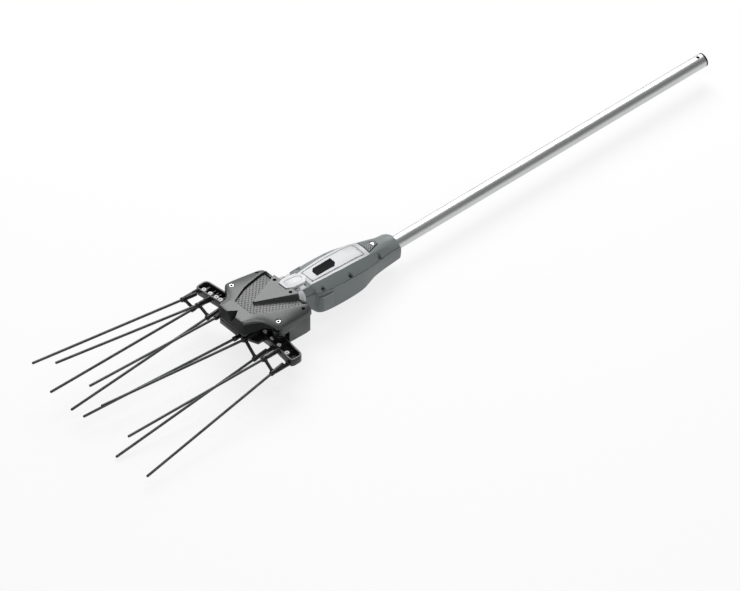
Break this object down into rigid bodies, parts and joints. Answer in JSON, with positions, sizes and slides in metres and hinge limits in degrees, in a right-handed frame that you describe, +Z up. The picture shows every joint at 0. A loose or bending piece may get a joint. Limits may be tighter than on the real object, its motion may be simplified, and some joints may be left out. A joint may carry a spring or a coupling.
{
  "type": "olive harvester attachment",
  "caption": "Shaft-driven olive harvester head on a pole: a gear housing turns a crank whose yoke swings opposed rakes of long thin tines apart and together.",
  "frame": {"origin": "centre of the pole tube's free end", "axes": "+X along the pole towards the tines, +Y to the left rake, +Z up"},
  "size_m": [1.4324, 0.3077, 0.1067],
  "materials": {
    "pole_metal": "brushed along its length",
    "ring_plastic": "fine grain",
    "bush_plastic": "smooth",
    "shaft_steel": "ground",
    "gear_steel": "machined",
    "cast_frame": "as cast",
    "bearing_steel": "ground",
    "housing_grey": "fine moulded grain",
    "inlay_silver": "satin silver",
    "trim_pale": "satin silver",
    "badge_black": "smooth",
    "patch_grey": "dotted",
    "cover_grey": "fine moulded grain",
    "cover_dark": "fine moulded grain",
    "screw_steel": "bright",
    "bronze": "sintered",
    "tine_composite": "mottled composite",
    "rake_black": "satin"
  },
  "bodies": {
    "frame": {"pole_tube": "pole_metal", "pole_end_ring": "ring_plastic", "shaft_bushes": "bush_plastic", "gearbox_frame": "cast_frame", "gearbox_bearings": "bearing_steel", "neck_bearing": "bearing_steel", "housing_lower": "housing_grey", "housing_upper": "housing_grey", "housing_screws": "screw_steel", "top_inlay": "inlay_silver", "badge_plate": "badge_black", "clamp_patch": "patch_grey", "clamp_screw": "screw_steel", "bridge_trim": "trim_pale", "head_lower_cover": "cover_dark", "head_upper_cover": "cover_grey", "head_screws": "screw_steel", "pivot_bolts": "screw_steel", "nose_block": "rake_black", "crank_bridge": "cast_frame", "crank_bearings": "bearing_steel", "yoke_rods": "shaft_steel"},
    "drive": {"drive_shaft": "shaft_steel", "spur_pinion": "gear_steel"},
    "lay_assembly": {"layshaft": "shaft_steel", "spur_gear": "gear_steel", "bevel_pinion": "gear_steel"},
    "crank": {"crank_shaft": "shaft_steel", "bevel_gear": "gear_steel", "crank_roller": "bronze"},
    "yoke": {"yoke_slider": "gear_steel", "yoke_pins": "shaft_steel"},
    "left_rake": {"left_bar": "rake_black", "left_lever": "rake_black", "left_bush": "bronze", "left_bar_screws": "screw_steel", "left_holder_outer": "rake_black", "left_holder_middle": "rake_black", "left_holder_inner": "rake_black", "left_tine_1": "tine_composite", "left_tine_2": "tine_composite", "left_tine_3": "tine_composite", "left_tine_4": "tine_composite", "left_tine_5": "tine_composite"},
    "right_rake": {"right_bar": "rake_black", "right_lever": "rake_black", "right_bush": "bronze", "right_bar_screws": "screw_steel", "right_holder_outer": "rake_black", "right_holder_middle": "rake_black", "right_holder_inner": "rake_black", "right_tine_1": "tine_composite", "right_tine_2": "tine_composite", "right_tine_3": "tine_composite", "right_tine_4": "tine_composite", "right_tine_5": "tine_composite"}
  },
  "joints": [
    {"name": "right_rake_swing", "type": "hinge", "parent": "frame", "child": "right_rake", "pos_m": [1.051, -0.062, 0], "axis": [0, 0, 1], "range_deg": [-15, 1]},
    {"name": "left_rake_swing", "type": "hinge", "parent": "frame", "child": "left_rake", "pos_m": [1.051, 0.062, 0], "axis": [0, 0, 1], "range_deg": [-1, 15]},
    {"name": "yoke_slide", "type": "slide", "parent": "frame", "child": "yoke", "axis": [1, 0, 0], "range_m": [-0.00056, 0.00838]},
    {"name": "crank_turn", "type": "hinge", "parent": "frame", "child": "crank", "pos_m": [1.015, 0, 0], "axis": [0, 0, 1], "range_deg": [-7.51, 112.51]},
    {"name": "layshaft_turn", "type": "hinge", "parent": "frame", "child": "lay_assembly", "pos_m": [0.9, 0, 0.0225], "axis": [1, 0, 0], "range_deg": [-281.26, 18.76]},
    {"name": "drive_turn", "type": "hinge", "parent": "frame", "child": "drive", "pos_m": [0.4, 0, 0], "axis": [1, 0, 0], "range_deg": [-37.51, 562.51]}
  ],
  "couplings": [
    {"joint": "left_rake_swing", "follows": "right_rake_swing", "ratio": -1},
    {"joint": "yoke_slide", "follows": "right_rake_swing", "m_per_rad": -0.032},
    {"joint": "crank_turn", "follows": "right_rake_swing", "ratio": -7.5},
    {"joint": "layshaft_turn", "follows": "right_rake_swing", "ratio": 18.75},
    {"joint": "drive_turn", "follows": "right_rake_swing", "ratio": -37.5}
  ]
}
